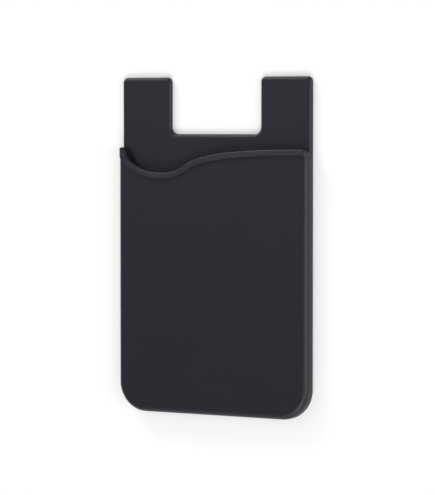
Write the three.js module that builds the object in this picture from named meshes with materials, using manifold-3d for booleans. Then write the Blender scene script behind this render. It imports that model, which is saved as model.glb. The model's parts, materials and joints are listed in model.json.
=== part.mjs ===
// Stick-on phone card holder: a moulded silicone sleeve with two ears, a wavy raised lip and
// a thumb dip, an adhesive sheet on its back and the peel-off liner that covers the sheet.
// Millimetres. It lies on its back: +X to its right, +Y towards the ears, +Z out of its front.
// The origin is at the middle of the liner's underside.

import * as THREE from "three";
import { mergeVertices } from "three/addons/utils/BufferGeometryUtils.js";
import Module from "manifold-3d";

// Pocket for a bank card that stands upright in it
const cardWidth = 54;
const cardSideClearance = 0.5;
const sideWall = 2.5;
const pocketFloorWall = 2.5;

// Outline of the sleeve
const sleeveLength = 92;
const bottomCornerRadius = 8.2;
const earWidth = 15.8;
const earCornerRadius = 1.4;
const notchDepth = 15.5;
const notchFilletRadius = 2;

// Thickness of the sleeve, from its back to its front
const backWall = 1.4;
const cardGap = 0.8;
const frontWall = 1.4;

// Mouth of the pocket: a shelf on the right, a thumb dip and a rounded tip on the left
const shelfBelowNotch = 4;
const shelfCornerRadius = 1.8;
const dipDepth = 6.5;
const dipFromLeft = 13.6;
const tipShoulderDrop = 0.9;
const lipWidth = 1.8;
const lipRise = 0.6;

// Shape of the mouth's curve: how far each end's direction reaches, as a share of its run
const descentPull = 0.3;
const dipPullLeft = 0.68;
const dipPullRight = 0.27;
const shelfPull = 1;

// Rounded edges, as the depth that the rounding takes from the side
const frontEdgeRounding = 1.6;
const earEdgeRounding = 1;
const backEdgeRounding = 0.4;
const lipEdgeRounding = 0.5;

// Adhesive sheet and its liner
const padInset = 1.6;
const padThickness = 0.3;
const linerOverhang = 0.5;
const linerThickness = 0.15;

// Fineness of the curves
const cornerSteps = 10;
const filletSteps = 5;
const tipSteps = 10;
const descentSteps = 14;
const riseSteps = 26;
const roundingSteps = 5;
const smallRoundingSteps = 3;

// Places that follow from the sizes above
const slotHalfWidth = cardWidth / 2 + cardSideClearance;
const halfWidth = slotHalfWidth + sideWall;
const topY = sleeveLength / 2;
const bottomY = -topY;
const notchY = topY - notchDepth;
const notchHalfWidth = halfWidth - earWidth;
const slotFloorZ = backWall;
const slotRoofZ = backWall + cardGap;
const frontZ = slotRoofZ + frontWall;
const lipTopZ = frontZ + lipRise;
const shelfY = notchY - shelfBelowNotch;
const shelfCornerX = halfWidth - shelfCornerRadius;
const dipX = dipFromLeft - halfWidth;
const dipY = shelfY - dipDepth;
const tipRadius = sideWall / 2;
const tipCentreY = shelfY - tipShoulderDrop;

const wasm = await Module();
wasm.setup();

// Points on a round corner, from one angle to another in degrees.
function arcPoints(centreX, centreY, radius, fromDegrees, toDegrees, steps) {
  const points = [];
  for (let i = 0; i <= steps; i += 1) {
    const angle = THREE.MathUtils.degToRad(THREE.MathUtils.lerp(fromDegrees, toDegrees, i / steps));
    points.push(
      new THREE.Vector2(centreX + radius * Math.cos(angle), centreY + radius * Math.sin(angle)),
    );
  }
  return points;
}

// An outline with neighbouring points that coincide taken out.
function withoutDoubles(points) {
  const least = 1e-4;
  return points.filter((point, i) => point.distanceTo(points.at(i - 1)) > least);
}

// The two round bottom corners and the floor between them, from left to right.
function bottomRun(inset, radius) {
  const corner = halfWidth - inset - radius;
  const centreY = bottomY + inset + radius;
  return [
    ...arcPoints(-corner, centreY, radius, 180, 270, cornerSteps),
    ...arcPoints(corner, centreY, radius, 270, 360, cornerSteps),
  ];
}

// The whole back with its two ears and the notch between them, moved in by an inset.
function backOutline(inset) {
  const outer = halfWidth - inset;
  const inner = notchHalfWidth + inset;
  const top = topY - inset;
  const notch = notchY - inset;
  const cornerRadius = Math.max(earCornerRadius - inset, earCornerRadius / 2);
  const ear = (side) => [
    ...arcPoints(side * (outer - cornerRadius), top - cornerRadius, cornerRadius, 0, 90, filletSteps),
    ...arcPoints(side * (inner + cornerRadius), top - cornerRadius, cornerRadius, 90, 180, filletSteps),
  ];
  const notchCorner = inner - notchFilletRadius;
  const notchCentreY = notch + notchFilletRadius;
  const rightEar = ear(1);
  const leftEar = rightEar.map((point) => new THREE.Vector2(-point.x, point.y)).reverse();
  return withoutDoubles([
    ...bottomRun(inset, bottomCornerRadius - inset),
    ...rightEar,
    ...arcPoints(notchCorner, notchCentreY, notchFilletRadius, 0, -90, filletSteps),
    ...arcPoints(-notchCorner, notchCentreY, notchFilletRadius, -90, -180, filletSteps),
    ...leftEar,
  ]);
}

// The mouth's edge from the inner side of the tip, down through the dip and up to the shelf.
function mouthCurve() {
  const start = new THREE.Vector2(-slotHalfWidth, tipCentreY);
  const dip = new THREE.Vector2(dipX, dipY);
  const end = new THREE.Vector2(shelfCornerX, shelfY);
  const descent = new THREE.CubicBezierCurve(
    start,
    new THREE.Vector2(start.x, start.y - descentPull * (start.y - dip.y)),
    new THREE.Vector2(dip.x - dipPullLeft * (dip.x - start.x), dip.y),
    dip,
  );
  const rise = new THREE.CubicBezierCurve(
    dip,
    new THREE.Vector2(dip.x + dipPullRight * (end.x - dip.x), dip.y),
    new THREE.Vector2(end.x - shelfPull * (end.x - dip.x), end.y),
    end,
  );
  return [...descent.getPoints(descentSteps), ...rise.getPoints(riseSteps).slice(1)];
}

// The mouth's edge with its tip and shelf corner, from right to left.
function mouthRun() {
  return [
    ...arcPoints(shelfCornerX, shelfY - shelfCornerRadius, shelfCornerRadius, 0, 90, filletSteps),
    ...mouthCurve().reverse(),
    ...arcPoints(-halfWidth + tipRadius, tipCentreY, tipRadius, 0, 180, tipSteps),
  ];
}

// The direction into an outline at each point, lengthened at corners so that edges stay parallel.
function inwardAt(points) {
  return points.map((point, i) => {
    const before = point.clone().sub(points.at(i - 1)).normalize();
    const after = points[(i + 1) % points.length].clone().sub(point).normalize();
    const inward = new THREE.Vector2(-before.y - after.y, before.x + after.x).normalize();
    const normal = new THREE.Vector2(-after.y, after.x);
    return inward.divideScalar(Math.max(inward.dot(normal), 0.5));
  });
}

// A closed solid through level copies of one outline, each moved in by the inset of its level.
function slab(outline, levels) {
  const inward = inwardAt(outline);
  const count = outline.length;
  const vertices = [];
  const faces = [];
  levels.forEach(({ z, inset }) => {
    outline.forEach((point, i) => {
      vertices.push(point.x + inward[i].x * inset, point.y + inward[i].y * inset, z);
    });
  });
  const ring = (level) =>
    outline.map((_, i) => {
      const at = 3 * (level * count + i);
      return new THREE.Vector2(vertices[at], vertices[at + 1]);
    });
  const last = levels.length - 1;
  THREE.ShapeUtils.triangulateShape(ring(0), []).forEach(([a, b, c]) => faces.push(c, b, a));
  THREE.ShapeUtils.triangulateShape(ring(last), []).forEach((face) => {
    faces.push(...face.map((corner) => corner + last * count));
  });
  for (let level = 0; level < last; level += 1) {
    for (let i = 0; i < count; i += 1) {
      const a = level * count + i;
      const b = level * count + ((i + 1) % count);
      faces.push(a, b, b + count, a, b + count, a + count);
    }
  }
  return geometryOf(vertices, faces);
}

// Levels of a rounded edge, from the upright side to the flat face.
function edgeLevels(sideZ, faceZ, depth, steps) {
  const levels = [];
  for (let i = 0; i <= steps; i += 1) {
    const angle = ((Math.PI / 2) * i) / steps;
    levels.push({
      z: sideZ + (faceZ - sideZ) * Math.sin(angle),
      inset: depth * (1 - Math.cos(angle)),
    });
  }
  return levels;
}

// Levels of the slightly rounded edge around the back.
function backLevels() {
  return edgeLevels(backEdgeRounding, 0, backEdgeRounding, smallRoundingSteps).reverse();
}

function geometryOf(vertices, faces) {
  const geometry = new THREE.BufferGeometry();
  geometry.setAttribute("position", new THREE.Float32BufferAttribute(vertices, 3));
  geometry.setIndex(faces);
  return geometry;
}

function solidOf(geometry) {
  const merged = mergeVertices(geometry);
  return new wasm.Manifold(
    new wasm.Mesh({
      numProp: 3,
      vertProperties: merged.attributes.position.array,
      triVerts: new Uint32Array(merged.index.array),
    }),
  );
}

function geometryOfSolid(solid) {
  const { vertProperties, triVerts } = solid.getMesh();
  const geometry = geometryOf(Array.from(vertProperties), Array.from(triVerts));
  geometry.computeVertexNormals();
  return geometry;
}

// The back wall with the ears, softly rounded all round.
function backPanel() {
  const front = edgeLevels(backWall - earEdgeRounding, backWall, earEdgeRounding, roundingSteps);
  return solidOf(slab(backOutline(0), [...backLevels(), ...front]));
}

// The outline of the pocket, with the mouth as its upper edge.
function pocketOutline() {
  return withoutDoubles([...bottomRun(0, bottomCornerRadius), ...mouthRun()]);
}

// The space under the rounded front edge of the sides and the floor, for a face at some height.
function underFrontEdge(faceZ) {
  const clearOfTop = topY + frontEdgeRounding;
  const outline = withoutDoubles([
    ...bottomRun(0, bottomCornerRadius),
    new THREE.Vector2(halfWidth, clearOfTop),
    new THREE.Vector2(-halfWidth, clearOfTop),
  ]);
  const sideZ = frontZ - frontEdgeRounding;
  const edge = edgeLevels(sideZ, faceZ, frontEdgeRounding, roundingSteps);
  return solidOf(slab(outline, [{ z: 0, inset: 0 }, ...edge]));
}

// The pocket as a full block up to the mouth.
function pocketBlock() {
  const levels = [...backLevels(), { z: frontZ, inset: 0 }];
  return solidOf(slab(pocketOutline(), levels)).intersect(underFrontEdge(frontZ));
}

// The strip along the mouth that the lip takes up, open towards the ears.
function lipStrip(levels) {
  const curve = mouthCurve();
  const closed = [curve[0].clone().setY(topY), ...curve, curve.at(-1).clone().setY(topY)];
  const upward = inwardAt(closed).slice(1, -1);
  const lower = curve.map((point, i) => point.clone().addScaledVector(upward[i], -lipWidth));
  const clearOfSide = halfWidth + lipWidth;
  const outline = withoutDoubles([
    new THREE.Vector2(-clearOfSide, lower[0].y),
    ...lower.filter((point) => point.x > tipRadius - halfWidth),
    new THREE.Vector2(clearOfSide, shelfY - lipWidth - lipEdgeRounding),
    new THREE.Vector2(clearOfSide, topY),
    new THREE.Vector2(-clearOfSide, topY),
  ]);
  return solidOf(slab(outline, levels));
}

// The raised band along the mouth, of even width, which fills the tip and rolls over the sides.
function lip() {
  const edge = edgeLevels(lipTopZ - lipEdgeRounding, lipTopZ, lipEdgeRounding, smallRoundingSteps);
  const levels = [{ z: slotFloorZ, inset: 0 }, ...edge];
  return solidOf(slab(pocketOutline(), levels))
    .intersect(lipStrip(levels))
    .intersect(underFrontEdge(lipTopZ));
}

// The flat space that the card slides into, open at the mouth.
function cardSlot() {
  const radius = bottomCornerRadius - sideWall;
  const centreY = bottomY + pocketFloorWall + radius;
  const corner = slotHalfWidth - radius;
  const openY = tipCentreY + 2 * tipRadius;
  const outline = withoutDoubles([
    ...arcPoints(-corner, centreY, radius, 180, 270, cornerSteps),
    ...arcPoints(corner, centreY, radius, 270, 360, cornerSteps),
    new THREE.Vector2(slotHalfWidth, openY),
    new THREE.Vector2(-slotHalfWidth, openY),
  ]);
  const slot = slab(outline, [
    { z: slotFloorZ, inset: 0 },
    { z: slotRoofZ, inset: 0 },
  ]);
  return solidOf(slot);
}

function sleeveGeometry() {
  const block = backPanel().add(pocketBlock()).add(lip());
  return geometryOfSolid(block.subtract(cardSlot()));
}

// A thin sheet in the shape of the back.
function sheetGeometry(inset, thickness) {
  return slab(backOutline(inset), [
    { z: 0, inset: 0 },
    { z: thickness, inset: 0 },
  ]);
}

function siliconeMaterial() {
  return new THREE.MeshStandardMaterial({ color: 0x2f2e34, roughness: 0.62, metalness: 0 });
}

function adhesiveMaterial() {
  return new THREE.MeshStandardMaterial({ color: 0xd8d5cb, roughness: 0.35, metalness: 0 });
}

function linerMaterial() {
  return new THREE.MeshStandardMaterial({ color: 0xece8dc, roughness: 0.45, metalness: 0 });
}

function namedMesh(name, geometry, material, z) {
  const mesh = new THREE.Mesh(geometry, material);
  mesh.name = name;
  mesh.position.z = z;
  return mesh;
}

const cardHolder = new THREE.Group();
cardHolder.add(
  namedMesh("sleeve", sleeveGeometry(), siliconeMaterial(), linerThickness + padThickness),
  namedMesh("adhesive_pad", sheetGeometry(padInset, padThickness), adhesiveMaterial(), linerThickness),
  namedMesh("release_liner", sheetGeometry(padInset - linerOverhang, linerThickness), linerMaterial(), 0),
);

export default cardHolder;
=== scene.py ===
import json
import math
from types import SimpleNamespace

import bmesh
import bpy
from mathutils import Matrix, Vector, geometry

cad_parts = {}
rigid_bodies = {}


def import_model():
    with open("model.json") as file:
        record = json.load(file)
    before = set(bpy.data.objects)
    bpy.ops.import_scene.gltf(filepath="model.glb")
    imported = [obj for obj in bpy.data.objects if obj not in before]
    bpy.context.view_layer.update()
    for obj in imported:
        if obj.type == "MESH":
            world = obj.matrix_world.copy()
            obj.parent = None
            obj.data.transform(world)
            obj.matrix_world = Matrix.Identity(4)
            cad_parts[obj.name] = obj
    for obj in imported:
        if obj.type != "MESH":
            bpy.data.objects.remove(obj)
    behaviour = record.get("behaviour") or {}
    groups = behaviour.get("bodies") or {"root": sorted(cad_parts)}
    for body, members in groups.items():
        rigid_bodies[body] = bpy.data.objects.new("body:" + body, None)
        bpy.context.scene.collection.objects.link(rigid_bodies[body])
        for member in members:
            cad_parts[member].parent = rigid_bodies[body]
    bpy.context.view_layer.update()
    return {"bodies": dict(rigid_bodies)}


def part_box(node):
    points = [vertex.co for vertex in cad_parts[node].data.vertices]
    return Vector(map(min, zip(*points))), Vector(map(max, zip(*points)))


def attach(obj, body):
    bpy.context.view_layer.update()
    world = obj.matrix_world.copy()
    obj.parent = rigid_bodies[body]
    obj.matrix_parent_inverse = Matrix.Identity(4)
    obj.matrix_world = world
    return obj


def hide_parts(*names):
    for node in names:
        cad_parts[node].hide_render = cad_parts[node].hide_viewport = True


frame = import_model()

bl_info = {
    "name": "Stick-on card holder",
    "version": (1, 0, 0),
    "blender": (4, 5, 0),
    "location": "View3D > Sidebar > Card holder",
    "description": "Builds a silicone card holder with a wavy mouth, its adhesive and its liner",
    "category": "Object",
}

MM = 0.001
SLEEVE_LOW, SLEEVE_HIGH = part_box("sleeve")
PAD_LOW, PAD_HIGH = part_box("adhesive_pad")
LINER_LOW, LINER_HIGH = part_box("release_liner")

# Points of an outline or a mesh that lie closer than this are one point
WELD_DISTANCE = 1e-7

# Edges that turn by more degrees than this are shaded as creases
SLEEVE_CREASE = 35
SHEET_CREASE = 50


def length(name, description, default, **more):
    return bpy.props.FloatProperty(
        name=name, description=description, default=default, unit="LENGTH", precision=5, **more
    )


def share(name, description, default):
    return bpy.props.FloatProperty(
        name=name, description=description, default=default, min=0, max=1, subtype="FACTOR"
    )


def colour(name, description, default):
    return bpy.props.FloatVectorProperty(
        name=name, description=description, default=default, size=4, min=0, max=1, subtype="COLOR"
    )


def steps_round(name, description, default):
    return bpy.props.IntProperty(name=name, description=description, default=default, min=2)


class SleeveSizes(bpy.types.PropertyGroup):
    half_width: length("Half width", "From the middle to a side", SLEEVE_HIGH.x)
    top: length("Top", "From the middle to the ears' ends", SLEEVE_HIGH.y)
    side_wall: length("Side wall", "Silicone at each side of the card", 2.5 * MM)
    floor_wall: length("Floor wall", "Silicone below the card", 2.5 * MM)
    corner_radius: length("Bottom corners", "Radius of the two round corners", 8.2 * MM)
    ear_width: length("Ear width", "Width of each ear", 15.8 * MM)
    ear_corner: length("Ear corners", "Radius of the ears' corners", 1.4 * MM)
    notch_depth: length("Notch depth", "From the ears' ends to the notch", 15.5 * MM)
    notch_fillet: length("Notch fillet", "Radius inside the notch", 2 * MM)
    back_wall: length("Back wall", "Thickness of the back and the ears", 1.4 * MM)
    card_gap: length("Card gap", "Depth of the card's slot", 0.8 * MM)
    front_wall: length("Front wall", "Thickness of the pocket's front", 1.4 * MM)
    shelf_below_notch: length("Shelf", "From the notch down to the mouth's shelf", 4 * MM)
    shelf_corner: length("Shelf corner", "Radius at the shelf's right end", 1.8 * MM)
    dip_depth: length("Dip depth", "From the shelf down to the thumb dip", 6.5 * MM)
    dip_from_left: length("Dip place", "From the left side to the dip", 13.6 * MM)
    tip_drop: length("Tip", "From the shelf down to the tip's centre", 0.9 * MM)
    lip_width: length("Lip width", "Width of the raised lip", 1.8 * MM)
    lip_rise: length("Lip rise", "How far the lip stands proud", 0.6 * MM)
    descent_pull: share("Descent", "How straight the mouth starts at the tip", 0.3)
    dip_pull_left: share("Dip, left", "How flat the dip is on its left", 0.68)
    dip_pull_right: share("Dip, right", "How flat the dip is on its right", 0.27)
    shelf_pull: share("Shelf, left", "How far the shelf runs level", 1)
    front_rounding: length("Front rounding", "Rounding of the front edge", 1.6 * MM)
    ear_rounding: length("Ear rounding", "Rounding of the ears' edge", 1 * MM)
    back_rounding: length("Back rounding", "Rounding of the back edge", 0.4 * MM)
    lip_rounding: length("Lip rounding", "Rounding of the lip's edge at the mouth", 0.45 * MM)
    lip_ridge: length("Lip ridge", "Rounding of the lip's lower edge", 0.28 * MM)
    lip_slope: length("Lip slope", "How far the lip falls off towards the mouth", 0.32 * MM)
    mouth_rounding: length("Mouth rounding", "Rounding of the slot's inner edge", 0.3 * MM)


class SheetSizes(bpy.types.PropertyGroup):
    pad_inset: length("Pad inset", "From the sleeve's edge to the adhesive", 1.6 * MM)
    liner_inset: length("Liner inset", "From the sleeve's edge to the liner", 1.1 * MM)
    slit_width: length("Slit width", "Width of the liner's peeling slit", 0.12 * MM)
    slit_wave: length("Slit wave", "Height of the slit's wave", 2.5 * MM)


class Colours(bpy.types.PropertyGroup):
    silicone: colour("Silicone", "Near black with a blue cast", (0.0150, 0.0133, 0.0218, 1))
    adhesive: colour("Adhesive", "Milky adhesive film", (0.62, 0.60, 0.54, 1))
    liner: colour("Liner", "Coated release paper", (0.80, 0.77, 0.69, 1))
    floor: colour("Floor", "Plain pale floor", (0.80, 0.80, 0.80, 1))


class Fineness(bpy.types.PropertyGroup):
    corner: steps_round("Corners", "Steps round a big corner", 36)
    fillet: steps_round("Fillets", "Steps round a small corner", 14)
    curve: steps_round("Mouth", "Steps along the mouth's rise", 110)
    edge: steps_round("Edges", "Steps over a rounded edge", 10)


# Outlines, as lists of (x, y) points that run anticlockwise


def arc(centre_x, centre_y, radius, start, end, steps):
    angles = [math.radians(start + (end - start) * i / steps) for i in range(steps + 1)]
    return [(centre_x + radius * math.cos(a), centre_y + radius * math.sin(a)) for a in angles]


def curve(start, pull_start, pull_end, end, steps):
    knots = [Vector((*point, 0)) for point in (start, pull_start, pull_end, end)]
    return [(point.x, point.y) for point in geometry.interpolate_bezier(*knots, steps + 1)]


def without_doubles(points):
    return [p for i, p in enumerate(points) if math.dist(p, points[i - 1]) > WELD_DISTANCE]


def inward_at(points):
    """The direction into an outline at each point, up to twice as long at corners."""
    least_share = 0.5
    result = []
    for i, point in enumerate(points):
        here = Vector(point)
        before = (here - Vector(points[i - 1])).normalized()
        after = (Vector(points[(i + 1) % len(points)]) - here).normalized()
        inward = Vector((-before.y - after.y, before.x + after.x)).normalized()
        result.append(inward / max(inward.dot(Vector((-after.y, after.x))), least_share))
    return result


def bottom_run(size, fine, inset, radius):
    """The bottom edge with its two round corners, from left to right."""
    corner = size.half_width - inset - radius
    centre = -size.top + inset + radius
    return [
        *arc(-corner, centre, radius, 180, 270, fine.corner),
        *arc(corner, centre, radius, 270, 360, fine.corner),
    ]


def back_outline(size, fine, inset):
    """The back with its ears and notch, drawn in by an inset."""
    outer = size.half_width - inset
    inner = size.half_width - size.ear_width + inset
    top = size.top - inset
    radius = max(size.ear_corner - inset, size.ear_corner / 2)
    ear = [
        *arc(outer - radius, top - radius, radius, 0, 90, fine.fillet),
        *arc(inner + radius, top - radius, radius, 90, 180, fine.fillet),
    ]
    corner = inner - size.notch_fillet
    centre = size.top - size.notch_depth - inset + size.notch_fillet
    return without_doubles([
        *bottom_run(size, fine, inset, size.corner_radius - inset),
        *ear,
        *arc(corner, centre, size.notch_fillet, 0, -90, fine.fillet),
        *arc(-corner, centre, size.notch_fillet, -90, -180, fine.fillet),
        *[(-x, y) for x, y in reversed(ear)],
    ])


def shelf_height(size):
    return size.top - size.notch_depth - size.shelf_below_notch


def mouth_curve(size, fine):
    """The mouth's edge from the tip's inner side, through the dip, to the shelf's end."""
    shelf = shelf_height(size)
    start = (size.side_wall - size.half_width, shelf - size.tip_drop)
    dip = (size.dip_from_left - size.half_width, shelf - size.dip_depth)
    end = (size.half_width - size.shelf_corner, shelf)
    run = end[0] - dip[0]
    descent = curve(
        start,
        (start[0], start[1] - size.descent_pull * (start[1] - dip[1])),
        (dip[0] - size.dip_pull_left * (dip[0] - start[0]), dip[1]),
        dip,
        fine.curve // 2,
    )
    rise = curve(
        dip,
        (dip[0] + size.dip_pull_right * run, dip[1]),
        (end[0] - size.shelf_pull * run, end[1]),
        end,
        fine.curve,
    )
    return [*descent, *rise[1:]]


def pocket_outline(size, fine):
    """The pocket's front, with the wavy mouth as its upper edge."""
    shelf = shelf_height(size)
    corner = size.shelf_corner
    tip = size.side_wall / 2
    return without_doubles([
        *bottom_run(size, fine, 0, size.corner_radius),
        *arc(size.half_width - corner, shelf - corner, corner, 0, 90, fine.fillet),
        *reversed(mouth_curve(size, fine)),
        *arc(tip - size.half_width, shelf - size.tip_drop, tip, 0, 180, 2 * fine.fillet),
    ])


def below_mouth(size, fine, depth):
    """The mouth's edge moved down into the silicone by a depth, from left to right."""
    points = mouth_curve(size, fine)
    closed = [(points[0][0], size.top), *points, (points[-1][0], size.top)]
    upward = inward_at(closed)[1:-1]
    return [(x - up.x * depth, y - up.y * depth) for (x, y), up in zip(points, upward)]


# Solids, made of level copies of an outline and joined or cut by one another


def edge_levels(side, face, depth, steps):
    """(height, inset) pairs of a rounded edge, from the upright side to the flat face."""
    angles = [math.pi / 2 * i / steps for i in range(steps + 1)]
    return [(side + (face - side) * math.sin(a), depth * (1 - math.cos(a))) for a in angles]


def slab(name, outline, levels):
    """A closed solid through copies of an outline, at (height, inset) levels from low to high."""
    inward = inward_at(outline)
    mesh = bpy.data.meshes.new(name)
    shape = bmesh.new()
    rings = []
    for height, inset in levels:
        ring = []
        for (x, y), way in zip(outline, inward):
            ring.append(shape.verts.new((x + way.x * inset, y + way.y * inset, height)))
        rings.append(ring)
    shape.faces.new(list(reversed(rings[0])))
    shape.faces.new(rings[-1])
    for lower, upper in zip(rings, rings[1:]):
        for i, corner in enumerate(lower):
            after = (i + 1) % len(lower)
            shape.faces.new((corner, lower[after], upper[after], upper[i]))
    shape.to_mesh(mesh)
    shape.free()
    piece = bpy.data.objects.new(name, mesh)
    bpy.context.scene.collection.objects.link(piece)
    return piece


def merge(piece, other, operation):
    """Joins, cuts or intersects piece with other, and takes other away."""
    modifier = piece.modifiers.new(operation.lower(), "BOOLEAN")
    modifier.operation = operation
    modifier.solver = "MANIFOLD"
    modifier.object = other
    evaluated = piece.evaluated_get(bpy.context.evaluated_depsgraph_get())
    mesh = bpy.data.meshes.new_from_object(evaluated)
    piece.modifiers.clear()
    old = piece.data
    piece.data = mesh
    bpy.data.meshes.remove(old)
    bpy.data.objects.remove(other)
    if not mesh.polygons:
        raise RuntimeError(f"{piece.name}: {operation} left nothing")
    return piece


def back_panel(size, fine):
    low = SLEEVE_LOW.z
    back = edge_levels(low + size.back_rounding, low, size.back_rounding, fine.edge // 2)
    top = low + size.back_wall
    front = edge_levels(top - size.ear_rounding, top, size.ear_rounding, fine.edge)
    return slab("back_panel", back_outline(size, fine, 0), [*reversed(back), *front])


def under_front_edge(size, fine, face):
    """The space under the rounded front edge of the sides and the floor."""
    low = SLEEVE_LOW.z
    clear = size.top + size.front_rounding
    outline = [
        *bottom_run(size, fine, 0, size.corner_radius),
        (size.half_width, clear),
        (-size.half_width, clear),
    ]
    side = low + size.back_wall + size.card_gap + size.front_wall - size.front_rounding
    levels = [(low, 0), *edge_levels(side, face, size.front_rounding, 2 * fine.edge)]
    return slab("edge_space", outline, levels)


def pocket_block(size, fine):
    low = SLEEVE_LOW.z
    face = low + size.back_wall + size.card_gap + size.front_wall
    back = edge_levels(low + size.back_rounding, low, size.back_rounding, fine.edge // 2)
    block = slab("pocket_block", pocket_outline(size, fine), [*reversed(back), (face, 0)])
    return merge(block, under_front_edge(size, fine, face), "INTERSECT")


def lip_band(size, fine):
    """The raised lip: highest along its lower ridge, and falling off towards the mouth."""
    low = SLEEVE_LOW.z + size.back_wall
    top = low + size.card_gap + size.front_wall + size.lip_rise
    rounding = size.lip_rounding
    ridge = size.lip_ridge
    mouth_height = top - size.lip_slope
    shoulder = mouth_height + size.lip_slope * rounding / (size.lip_width - ridge)
    edge = edge_levels(shoulder - rounding, shoulder, rounding, fine.edge)
    above = (top + ridge, rounding + ridge / 4)
    band = slab("lip_band", pocket_outline(size, fine), [(low, 0), *edge, above])
    lower = below_mouth(size, fine, size.lip_width)
    left = size.side_wall / 2 - size.half_width
    clear = size.half_width + size.lip_width
    shelf = shelf_height(size)
    strip = without_doubles([
        (-clear, lower[0][1]),
        *[point for point in lower if point[0] > left],
        (clear, shelf - size.lip_width - rounding),
        (clear, size.top),
        (-clear, size.top),
    ])
    sloping = [*edge_levels(top - ridge, top, ridge, fine.edge), (mouth_height, size.lip_width)]
    merge(band, slab("lip_strip", strip, [(low, 0), *sloping]), "INTERSECT")
    return merge(band, under_front_edge(size, fine, top), "INTERSECT")


def card_slot(size, fine):
    """The room for the card, open above the mouth."""
    low = SLEEVE_LOW.z + size.back_wall
    half = size.half_width - size.side_wall
    radius = size.corner_radius - size.side_wall
    centre = -size.top + size.floor_wall + radius
    clear = shelf_height(size) + size.side_wall
    outline = without_doubles([
        *arc(radius - half, centre, radius, 180, 270, fine.corner),
        *arc(half - radius, centre, radius, 270, 360, fine.corner),
        (half, clear),
        (-half, clear),
    ])
    return slab("card_slot", outline, [(low, 0), (low + size.card_gap, 0)])


def mouth_relief(size, fine):
    """What the rounding of the slot's inner edge takes away along the mouth."""
    roof = SLEEVE_LOW.z + size.back_wall + size.card_gap
    half = size.half_width - size.side_wall
    depth = size.mouth_rounding
    edge = [p for p in below_mouth(size, fine, depth) if abs(p[0]) < half]
    outline = without_doubles([
        (-half, edge[0][1]),
        *edge,
        (half, edge[-1][1]),
        (half, size.top),
        (-half, size.top),
    ])
    start = roof - depth / 2
    return slab("mouth_relief", outline, [(start, 0), *edge_levels(roof, roof + depth, depth, fine.edge)])


def finish_mesh(piece, sharp_degrees):
    """Smooth shading that keeps flat faces flat and creases crisp."""
    shape = bmesh.new()
    shape.from_mesh(piece.data)
    bmesh.ops.remove_doubles(shape, verts=shape.verts, dist=WELD_DISTANCE)
    bmesh.ops.dissolve_degenerate(shape, edges=shape.edges, dist=WELD_DISTANCE)
    bmesh.ops.recalc_face_normals(shape, faces=shape.faces)
    for face in shape.faces:
        face.smooth = True
    limit = math.radians(sharp_degrees)
    for edge in shape.edges:
        edge.smooth = len(edge.link_faces) == 2 and edge.calc_face_angle(0) < limit
    shape.to_mesh(piece.data)
    shape.free()
    weighted = piece.modifiers.new("even_shading", "WEIGHTED_NORMAL")
    weighted.keep_sharp = True
    weighted.weight = 100


# Finishes: scales are noise cells per metre, heights are metres, darkest and lightest are parts
# of the written colour

SILICONE = SimpleNamespace(
    mottle_scale=90,
    mottle_detail=3,
    darkest=0.94,
    lightest=1.06,
    haze_scale=240,
    haze_detail=2,
    smoothest=0.42,
    roughest=0.50,
    grain_scale=5200,
    grain_detail=2,
    grain_height=0.02 * MM,
    grain_strength=0.35,
    swell_scale=420,
    swell_detail=1,
    swell_height=0.06 * MM,
    swell_strength=0.12,
    index_of_refraction=1.43,
)
ADHESIVE = SimpleNamespace(
    cloud_scale=160,
    cloud_detail=4,
    darkest=0.92,
    lightest=1.05,
    haze_scale=900,
    smoothest=0.25,
    roughest=0.4,
    dimple_scale=1500,
    dimple_detail=3,
    dimple_height=0.03 * MM,
    dimple_strength=0.3,
)
LINER = SimpleNamespace(
    fibre_scale=2600,
    fibre_detail=5,
    fibre_roughness=0.7,
    fibre_height=0.02 * MM,
    fibre_strength=0.35,
    darkest=0.93,
    lightest=1.04,
    haze_scale=700,
    smoothest=0.42,
    roughest=0.55,
    coat=0.25,
    coat_roughness=0.3,
)


class Finish:
    """A node material with a few short ways to add and join its nodes."""

    def __init__(self, name):
        self.material = bpy.data.materials.new(name)
        self.material.use_nodes = True
        self.tree = self.material.node_tree
        self.shader = self.tree.nodes["Principled BSDF"]
        self.place = self.add("ShaderNodeTexCoord").outputs["Object"]

    def add(self, kind, **values):
        node = self.tree.nodes.new(kind)
        for key, value in values.items():
            setattr(node, key, value)
        return node

    def join(self, start, end):
        self.tree.links.new(start, end)

    def feed(self, socket, value):
        self.join(value, self.shader.inputs[socket])

    def write(self, socket, value):
        self.shader.inputs[socket].default_value = value

    def noise(self, scale, detail=2.0, roughness=0.5):
        node = self.add("ShaderNodeTexNoise")
        node.inputs["Scale"].default_value = scale
        node.inputs["Detail"].default_value = detail
        node.inputs["Roughness"].default_value = roughness
        self.join(self.place, node.inputs["Vector"])
        return node.outputs["Fac"]

    def between(self, factor, low, high):
        node = self.add("ShaderNodeMapRange")
        node.inputs["To Min"].default_value = low
        node.inputs["To Max"].default_value = high
        self.join(factor, node.inputs["Value"])
        return node.outputs["Result"]

    def tint(self, factor, base, look):
        """The base colour, varied from the look's darkest to its lightest part."""
        node = self.add("ShaderNodeMix", data_type="RGBA")
        node.inputs["A"].default_value = scaled(base, look.darkest)
        node.inputs["B"].default_value = scaled(base, look.lightest)
        self.join(factor, node.inputs["Factor"])
        return node.outputs["Result"]

    def bump(self, height, distance, strength, under=None):
        node = self.add("ShaderNodeBump")
        node.inputs["Distance"].default_value = distance
        node.inputs["Strength"].default_value = strength
        self.join(height, node.inputs["Height"])
        if under is not None:
            self.join(under, node.inputs["Normal"])
        return node.outputs["Normal"]


def scaled(value, factor):
    red, green, blue = [part * factor for part in value[:3]]
    return red, green, blue, 1


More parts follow.
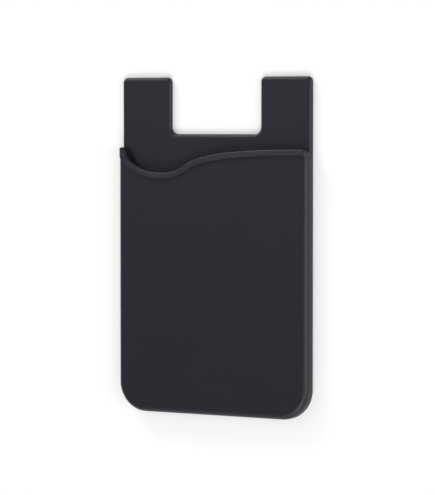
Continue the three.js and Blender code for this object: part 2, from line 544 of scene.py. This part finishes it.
def silicone_finish(colours):
    """Smooth matte silicone: a fine moulded grain, a trace of mottling and soft gloss."""
    look = SILICONE
    finish = Finish("matte_silicone")
    mottle = finish.noise(look.mottle_scale, look.mottle_detail)
    finish.feed("Base Color", finish.tint(mottle, colours.silicone, look))
    haze = finish.noise(look.haze_scale, look.haze_detail)
    finish.feed("Roughness", finish.between(haze, look.smoothest, look.roughest))
    fine_noise = finish.noise(look.grain_scale, look.grain_detail)
    grain = finish.bump(fine_noise, look.grain_height, look.grain_strength)
    broad_noise = finish.noise(look.swell_scale, look.swell_detail)
    swell = finish.bump(broad_noise, look.swell_height, look.swell_strength, under=grain)
    finish.feed("Normal", swell)
    finish.write("IOR", look.index_of_refraction)
    return finish.material


def adhesive_finish(colours):
    """Milky adhesive film with a faint cloudiness."""
    look = ADHESIVE
    finish = Finish("adhesive_film")
    cloud = finish.noise(look.cloud_scale, look.cloud_detail)
    finish.feed("Base Color", finish.tint(cloud, colours.adhesive, look))
    haze = finish.noise(look.haze_scale)
    finish.feed("Roughness", finish.between(haze, look.smoothest, look.roughest))
    dimples = finish.noise(look.dimple_scale, look.dimple_detail)
    finish.feed("Normal", finish.bump(dimples, look.dimple_height, look.dimple_strength))
    return finish.material


def liner_finish(colours):
    """Coated release paper: short fibres under a smooth coat."""
    look = LINER
    finish = Finish("release_paper")
    fibres = finish.noise(look.fibre_scale, look.fibre_detail, look.fibre_roughness)
    finish.feed("Base Color", finish.tint(fibres, colours.liner, look))
    haze = finish.noise(look.haze_scale)
    finish.feed("Roughness", finish.between(haze, look.smoothest, look.roughest))
    finish.feed("Normal", finish.bump(fibres, look.fibre_height, look.fibre_strength))
    finish.write("Coat Weight", look.coat)
    finish.write("Coat Roughness", look.coat_roughness)
    return finish.material


def hand_over(piece, node, material):
    """Gives a piece its finish and lets it stand for its solid in the frame."""
    piece.data.materials.clear()
    piece.data.materials.append(material)
    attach(piece, frame_body())
    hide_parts(node)


def frame_body():
    return next(iter(frame["bodies"]))


class OBJECT_OT_build_sleeve(bpy.types.Operator):
    """Moulds the silicone sleeve with its ears, pocket and raised lip"""

    bl_idname = "card_holder.build_sleeve"
    bl_label = "Build the sleeve"

    def execute(self, context):
        size = context.scene.card_holder_sleeve
        fine = context.scene.card_holder_fineness
        sleeve = back_panel(size, fine)
        sleeve.name = "silicone_sleeve"
        merge(sleeve, pocket_block(size, fine), "UNION")
        merge(sleeve, lip_band(size, fine), "UNION")
        merge(sleeve, card_slot(size, fine), "DIFFERENCE")
        merge(sleeve, mouth_relief(size, fine), "DIFFERENCE")
        finish_mesh(sleeve, SLEEVE_CREASE)
        hand_over(sleeve, "sleeve", silicone_finish(context.scene.card_holder_colours))
        return {"FINISHED"}


class OBJECT_OT_build_adhesive(bpy.types.Operator):
    """Lays the double-sided adhesive sheet on the sleeve's back"""

    bl_idname = "card_holder.build_adhesive"
    bl_label = "Build the adhesive"

    def execute(self, context):
        size = context.scene.card_holder_sleeve
        fine = context.scene.card_holder_fineness
        sheets = context.scene.card_holder_sheets
        low, high = PAD_LOW.z, PAD_HIGH.z
        middle = (low + high) / 2
        bevel = (high - low) / 8
        levels = [(low, bevel), (low + bevel, 0), (middle, 0), (high - bevel, 0), (high, bevel)]
        pad = slab("adhesive_sheet", back_outline(size, fine, sheets.pad_inset), levels)
        finish_mesh(pad, SHEET_CREASE)
        hand_over(pad, "adhesive_pad", adhesive_finish(context.scene.card_holder_colours))
        return {"FINISHED"}


class OBJECT_OT_build_liner(bpy.types.Operator):
    """Covers the adhesive with the peel-off liner and its wavy peeling slit"""

    bl_idname = "card_holder.build_liner"
    bl_label = "Build the liner"

    def execute(self, context):
        size = context.scene.card_holder_sleeve
        fine = context.scene.card_holder_fineness
        sheets = context.scene.card_holder_sheets
        low, high = LINER_LOW.z, LINER_HIGH.z
        outline = back_outline(size, fine, sheets.liner_inset)
        liner = slab("release_paper_liner", outline, [(low, 0), (high, 0)])
        merge(liner, peeling_slit(size, sheets, fine, low, high), "DIFFERENCE")
        finish_mesh(liner, SHEET_CREASE)
        hand_over(liner, "release_liner", liner_finish(context.scene.card_holder_colours))
        return {"FINISHED"}


def peeling_slit(size, sheets, fine, low, high):
    """A wavy groove across the liner's underside, cut through half of its thickness."""
    reach = size.half_width
    steps = fine.curve
    half = sheets.slit_width / 2
    wave = []
    for i in range(steps + 1):
        x = reach * (2 * i / steps - 1)
        wave.append((x, sheets.slit_wave * math.sin(math.pi * x / reach)))
    outline = [(x, y - half) for x, y in wave] + [(x, y + half) for x, y in reversed(wave)]
    depth = (high - low) / 2
    return slab("slit", outline, [(low - depth, 0), (low + depth, 0)])


# Stage: floor, light and camera

# The camera turns round the holder to its right and rises towards the ears
VIEW_TURN = math.radians(31.366)
VIEW_RISE = math.radians(2.518)
VIEW_DISTANCE = 0.773
AIM_RIGHT = 0.00082
AIM_UP = -0.00029
AIM_HEIGHT = 0.002

# Sensor width and focal length in millimetres
SENSOR = 36
LENS = 206.81

# The room's walls and ceiling, as heights on a sphere of radius 1 round the holder
WALL_TOP = 0.3
WALL_STRENGTH = 0.5
CEILING_START = 0.65
CEILING_STRENGTH = 0.12

# The floor's own light, which only the camera, gloss and glass see
FLOOR_GLOW = 0.28
FLOOR_REACH = 6
FLOOR_GAP = 0.02 * MM
FLOOR_ROUGHNESS = 0.9

# Soft lamps that face the holder, with place and size in metres and power in watts
LAMPS = {
    "right_bar": {"place": (0.99, 0, 0.6), "size": (0.3, 0.8), "power": 5},
    "upper_left_bar": {"place": (-0.3, 0.5, 0.22), "size": (0.25, 0.13), "power": 1.3},
    "upper_left_soft": {"place": (-0.28, 0.24, 0.5), "size": (0.3, 0.3), "power": 0.45},
    "lower_soft": {"place": (0.42, -0.84, 0.98), "size": (0.7, 0.7), "power": 7.5},
    "lower_bar": {"place": (-0.1, -1.1, 0.9), "size": (0.6, 0.4), "power": 2.8},
}


def view_axes():
    """The camera's directions from the lying holder: towards the camera, right and up."""
    towards = Vector((
        math.sin(VIEW_TURN) * math.cos(VIEW_RISE),
        math.sin(VIEW_RISE),
        math.cos(VIEW_TURN) * math.cos(VIEW_RISE),
    ))
    right = Vector((math.cos(VIEW_TURN), 0, -math.sin(VIEW_TURN)))
    return towards, right, towards.cross(right)


def add_camera():
    towards, right, up = view_axes()
    data = bpy.data.cameras.new("photo_camera")
    data.sensor_width = SENSOR
    data.lens = LENS
    data.clip_start = 0.01
    data.clip_end = 20
    camera = bpy.data.objects.new("photo_camera", data)
    bpy.context.scene.collection.objects.link(camera)
    camera.rotation_mode = "QUATERNION"
    camera.rotation_quaternion = Matrix((right, up, towards)).transposed().to_quaternion()
    aim = right * AIM_RIGHT + up * AIM_UP + Vector((0, 0, AIM_HEIGHT))
    camera.location = aim + towards * VIEW_DISTANCE
    bpy.context.scene.camera = camera


def add_lamp(name, place, size, power):
    """A soft rectangular lamp that faces the holder's middle."""
    data = bpy.data.lights.new(name, "AREA")
    data.shape = "RECTANGLE"
    data.size, data.size_y = size
    data.energy = power
    lamp = bpy.data.objects.new(name, data)
    lamp.location = place
    lamp.rotation_mode = "QUATERNION"
    lamp.rotation_quaternion = Vector(place).to_track_quat("Z", "Y")
    bpy.context.scene.collection.objects.link(lamp)


def seen_directly(tree):
    """1 for what the camera sees, also in gloss and through glass, and 0 for other light."""
    path = tree.nodes.new("ShaderNodeLightPath")
    glossy = tree.nodes.new("ShaderNodeMath")
    glossy.operation = "MAXIMUM"
    tree.links.new(path.outputs["Is Camera Ray"], glossy.inputs[0])
    tree.links.new(path.outputs["Is Glossy Ray"], glossy.inputs[1])
    clear = tree.nodes.new("ShaderNodeMath")
    clear.operation = "MAXIMUM"
    tree.links.new(glossy.outputs[0], clear.inputs[0])
    tree.links.new(path.outputs["Is Transmission Ray"], clear.inputs[1])
    return clear.outputs[0]


def light_world():
    """A room with pale walls all round and a dimmer ceiling behind the lamps."""
    world = bpy.data.worlds.new("pale_walled_room")
    world.use_nodes = True
    bpy.context.scene.world = world
    tree = world.node_tree
    background = tree.nodes["Background"]
    background.inputs["Color"].default_value = (1, 1, 1, 1)
    direction = tree.nodes.new("ShaderNodeTexCoord").outputs["Generated"]
    parts = tree.nodes.new("ShaderNodeSeparateXYZ")
    tree.links.new(direction, parts.inputs["Vector"])
    strength = tree.nodes.new("ShaderNodeMapRange")
    strength.interpolation_type = "SMOOTHSTEP"
    strength.inputs["From Min"].default_value = WALL_TOP
    strength.inputs["From Max"].default_value = CEILING_START
    strength.inputs["To Min"].default_value = WALL_STRENGTH
    strength.inputs["To Max"].default_value = CEILING_STRENGTH
    tree.links.new(parts.outputs["Z"], strength.inputs["Value"])
    tree.links.new(strength.outputs["Result"], background.inputs["Strength"])


def add_floor(colours):
    signs = ((-1, -1), (1, -1), (1, 1), (-1, 1))
    corners = [(x * FLOOR_REACH, y * FLOOR_REACH, 0) for x, y in signs]
    mesh = bpy.data.meshes.new("floor")
    mesh.from_pydata(corners, [], [range(len(corners))])
    floor = bpy.data.objects.new("floor", mesh)
    floor.location.z = -FLOOR_GAP
    bpy.context.scene.collection.objects.link(floor)
    finish = Finish("pale_floor")
    finish.write("Base Color", tuple(colours.floor))
    finish.write("Roughness", FLOOR_ROUGHNESS)
    finish.write("Specular IOR Level", 0)
    finish.write("Emission Color", (1, 1, 1, 1))
    finish.feed("Emission Strength", finish.between(seen_directly(finish.tree), 0, FLOOR_GLOW))
    mesh.materials.append(finish.material)


class OBJECT_OT_build_stage(bpy.types.Operator):
    """Sets the pale floor, the soft lamps and the camera"""

    bl_idname = "card_holder.build_stage"
    bl_label = "Build the stage"

    def execute(self, context):
        context.scene.view_settings.view_transform = "Standard"
        add_camera()
        light_world()
        for name, lamp in LAMPS.items():
            add_lamp(name, **lamp)
        add_floor(context.scene.card_holder_colours)
        return {"FINISHED"}


class VIEW3D_PT_card_holder(bpy.types.Panel):
    """Lists the steps that build the card holder"""

    bl_idname = "VIEW3D_PT_card_holder"
    bl_label = "Card holder"
    bl_space_type = "VIEW_3D"
    bl_region_type = "UI"
    bl_category = "Card holder"

    def draw(self, context):
        layout = self.layout
        for step in STEPS:
            layout.operator(step.bl_idname)
        for group in GROUPS:
            values = getattr(context.scene, group)
            box = layout.box()
            for name in values.__annotations__:
                box.prop(values, name)


STEPS = (
    OBJECT_OT_build_stage,
    OBJECT_OT_build_liner,
    OBJECT_OT_build_adhesive,
    OBJECT_OT_build_sleeve,
)
GROUPS = {
    "card_holder_sleeve": SleeveSizes,
    "card_holder_sheets": SheetSizes,
    "card_holder_colours": Colours,
    "card_holder_fineness": Fineness,
}


def register():
    for group in (*GROUPS.values(), *STEPS, VIEW3D_PT_card_holder):
        bpy.utils.register_class(group)
    for name, group in GROUPS.items():
        setattr(bpy.types.Scene, name, bpy.props.PointerProperty(type=group))


def unregister():
    for name in GROUPS:
        delattr(bpy.types.Scene, name)
    for group in reversed((*GROUPS.values(), *STEPS, VIEW3D_PT_card_holder)):
        bpy.utils.unregister_class(group)


def main():
    register()
    bpy.ops.card_holder.build_stage()
    bpy.ops.card_holder.build_liner()
    bpy.ops.card_holder.build_adhesive()
    bpy.ops.card_holder.build_sleeve()


if __name__ == "__main__":
    main()
